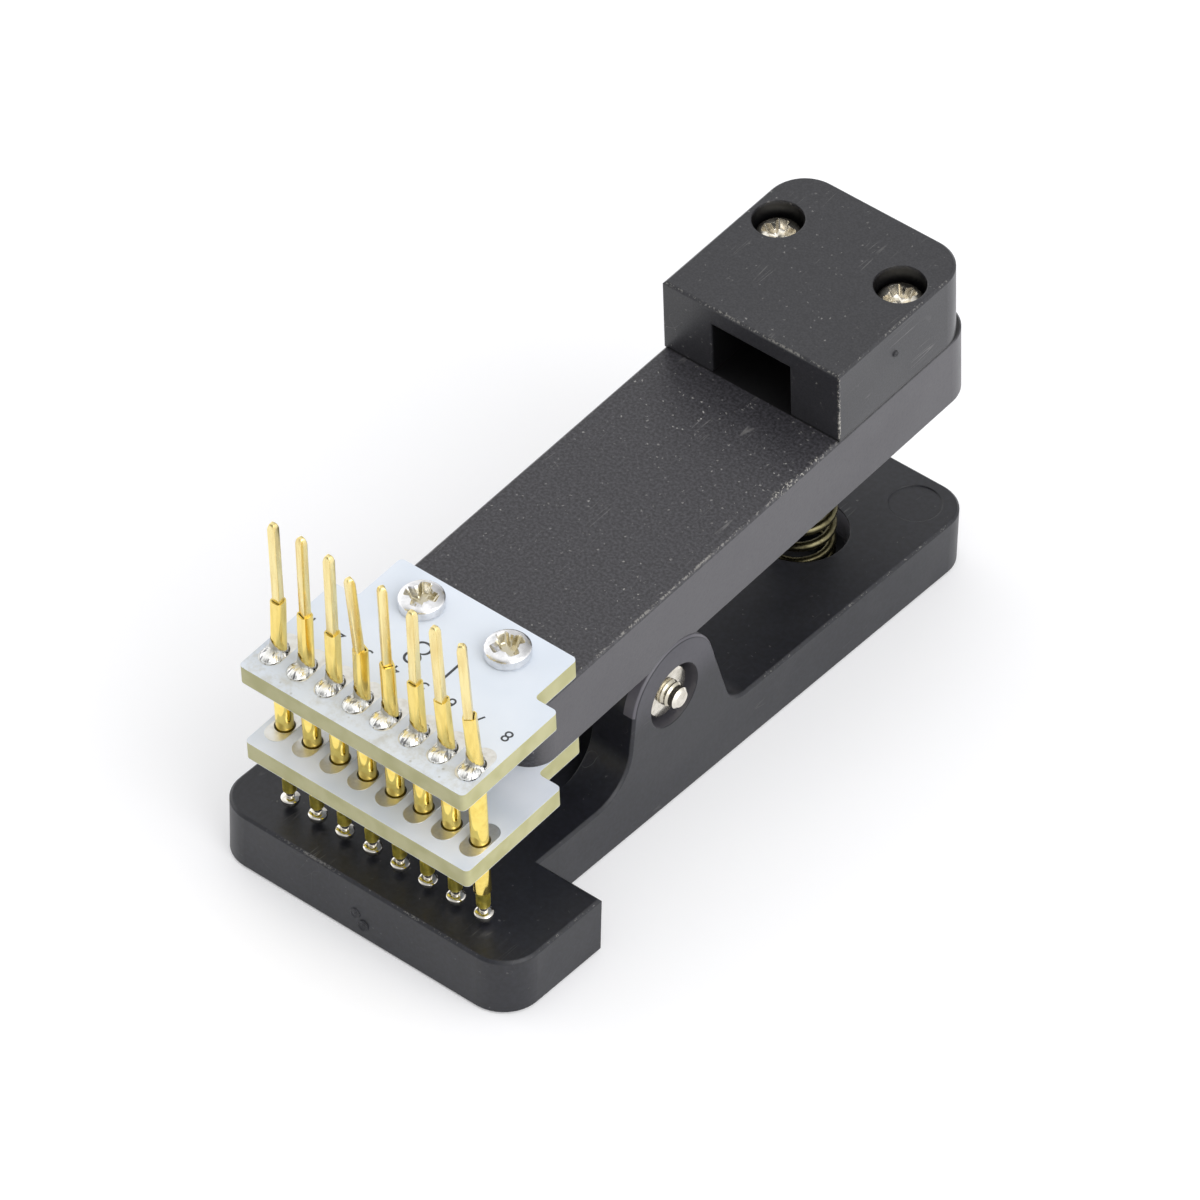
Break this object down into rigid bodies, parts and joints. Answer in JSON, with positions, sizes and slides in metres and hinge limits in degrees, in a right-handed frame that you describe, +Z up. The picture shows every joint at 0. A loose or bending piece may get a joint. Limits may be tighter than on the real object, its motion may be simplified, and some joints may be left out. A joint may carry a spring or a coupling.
{
  "type": "pogo pin programming clip",
  "caption": "Spring-closed hinged clip whose upper jaw carries boards with a row of sprung contact probes over a platform for a target board, wire posts above and a cable clamp",
  "frame": {"origin": "underside of the base, on the symmetry plane, straight below the pivot", "axes": "+X along the probe row, +Y from the probe row to the cable end, +Z up"},
  "size_m": [0.0274, 0.061, 0.0331],
  "materials": {
    "black_plastic": "moulded black ABS with a fine matt texture",
    "board": "glass epoxy board with white solder mask and bare edges",
    "gold": "gold plated brass",
    "nickel": "nickel plated steel",
    "nickel_tip": "nickel plated brass",
    "spring_steel": "drawn spring wire with a brown oil film",
    "solder": "bright tin solder"
  },
  "bodies": {
    "base": {"base": "black_plastic", "pivot_screw": "nickel", "pivot_nut": "nickel", "jaw_spring": "spring_steel"},
    "jaw": {"arm": "black_plastic", "cable_clamp_cap": "black_plastic", "cap_screws": "nickel", "upper_board": "board", "lower_board": "board", "upper_board_screws": "nickel", "lower_board_screws": "nickel", "wire_posts": "gold", "solder_joints": "solder", "receptacle_1": "gold", "receptacle_2": "gold", "receptacle_3": "gold", "receptacle_4": "gold", "receptacle_5": "gold", "receptacle_6": "gold", "receptacle_7": "gold", "receptacle_8": "gold", "probe_barrel_1": "gold", "probe_barrel_2": "gold", "probe_barrel_3": "gold", "probe_barrel_4": "gold", "probe_barrel_5": "gold", "probe_barrel_6": "gold", "probe_barrel_7": "gold", "probe_barrel_8": "gold", "probe_spring_1": "spring_steel", "probe_spring_2": "spring_steel", "probe_spring_3": "spring_steel", "probe_spring_4": "spring_steel", "probe_spring_5": "spring_steel", "probe_spring_6": "spring_steel", "probe_spring_7": "spring_steel", "probe_spring_8": "spring_steel"},
    "plunger_1": {"plunger_1": "nickel_tip"},
    "plunger_2": {"plunger_2": "nickel_tip"},
    "plunger_3": {"plunger_3": "nickel_tip"},
    "plunger_4": {"plunger_4": "nickel_tip"},
    "plunger_5": {"plunger_5": "nickel_tip"},
    "plunger_6": {"plunger_6": "nickel_tip"},
    "plunger_7": {"plunger_7": "nickel_tip"},
    "plunger_8": {"plunger_8": "nickel_tip"}
  },
  "joints": [
    {"name": "jaw_hinge", "type": "hinge", "parent": "base", "child": "jaw", "pos_m": [0, 0, 0.0105], "axis": [-1, 0, 0], "range_deg": [0, 18], "stiffness_Nm_per_rad": 1.2, "springref_deg": -8.59, "deforming": ["jaw_spring"]},
    {"name": "plunger_1_slide", "type": "slide", "parent": "jaw", "child": "plunger_1", "axis": [0, -0.074, 0.9973], "range_m": [0, 0.00055], "stiffness_N_per_m": 400, "springref_m": -0.0026, "deforming": ["probe_spring_1"]},
    {"name": "plunger_2_slide", "type": "slide", "parent": "jaw", "child": "plunger_2", "axis": [0, -0.074, 0.9973], "range_m": [0, 0.00055], "stiffness_N_per_m": 400, "springref_m": -0.0026, "deforming": ["probe_spring_2"]},
    {"name": "plunger_3_slide", "type": "slide", "parent": "jaw", "child": "plunger_3", "axis": [0, -0.074, 0.9973], "range_m": [0, 0.00055], "stiffness_N_per_m": 400, "springref_m": -0.0026, "deforming": ["probe_spring_3"]},
    {"name": "plunger_4_slide", "type": "slide", "parent": "jaw", "child": "plunger_4", "axis": [0, -0.074, 0.9973], "range_m": [0, 0.00055], "stiffness_N_per_m": 400, "springref_m": -0.0026, "deforming": ["probe_spring_4"]},
    {"name": "plunger_5_slide", "type": "slide", "parent": "jaw", "child": "plunger_5", "axis": [0, -0.074, 0.9973], "range_m": [0, 0.00055], "stiffness_N_per_m": 400, "springref_m": -0.0026, "deforming": ["probe_spring_5"]},
    {"name": "plunger_6_slide", "type": "slide", "parent": "jaw", "child": "plunger_6", "axis": [0, -0.074, 0.9973], "range_m": [0, 0.00055], "stiffness_N_per_m": 400, "springref_m": -0.0026, "deforming": ["probe_spring_6"]},
    {"name": "plunger_7_slide", "type": "slide", "parent": "jaw", "child": "plunger_7", "axis": [0, -0.074, 0.9973], "range_m": [0, 0.00055], "stiffness_N_per_m": 400, "springref_m": -0.0026, "deforming": ["probe_spring_7"]},
    {"name": "plunger_8_slide", "type": "slide", "parent": "jaw", "child": "plunger_8", "axis": [0, -0.074, 0.9973], "range_m": [0, 0.00055], "stiffness_N_per_m": 400, "springref_m": -0.0026, "deforming": ["probe_spring_8"]}
  ]
}
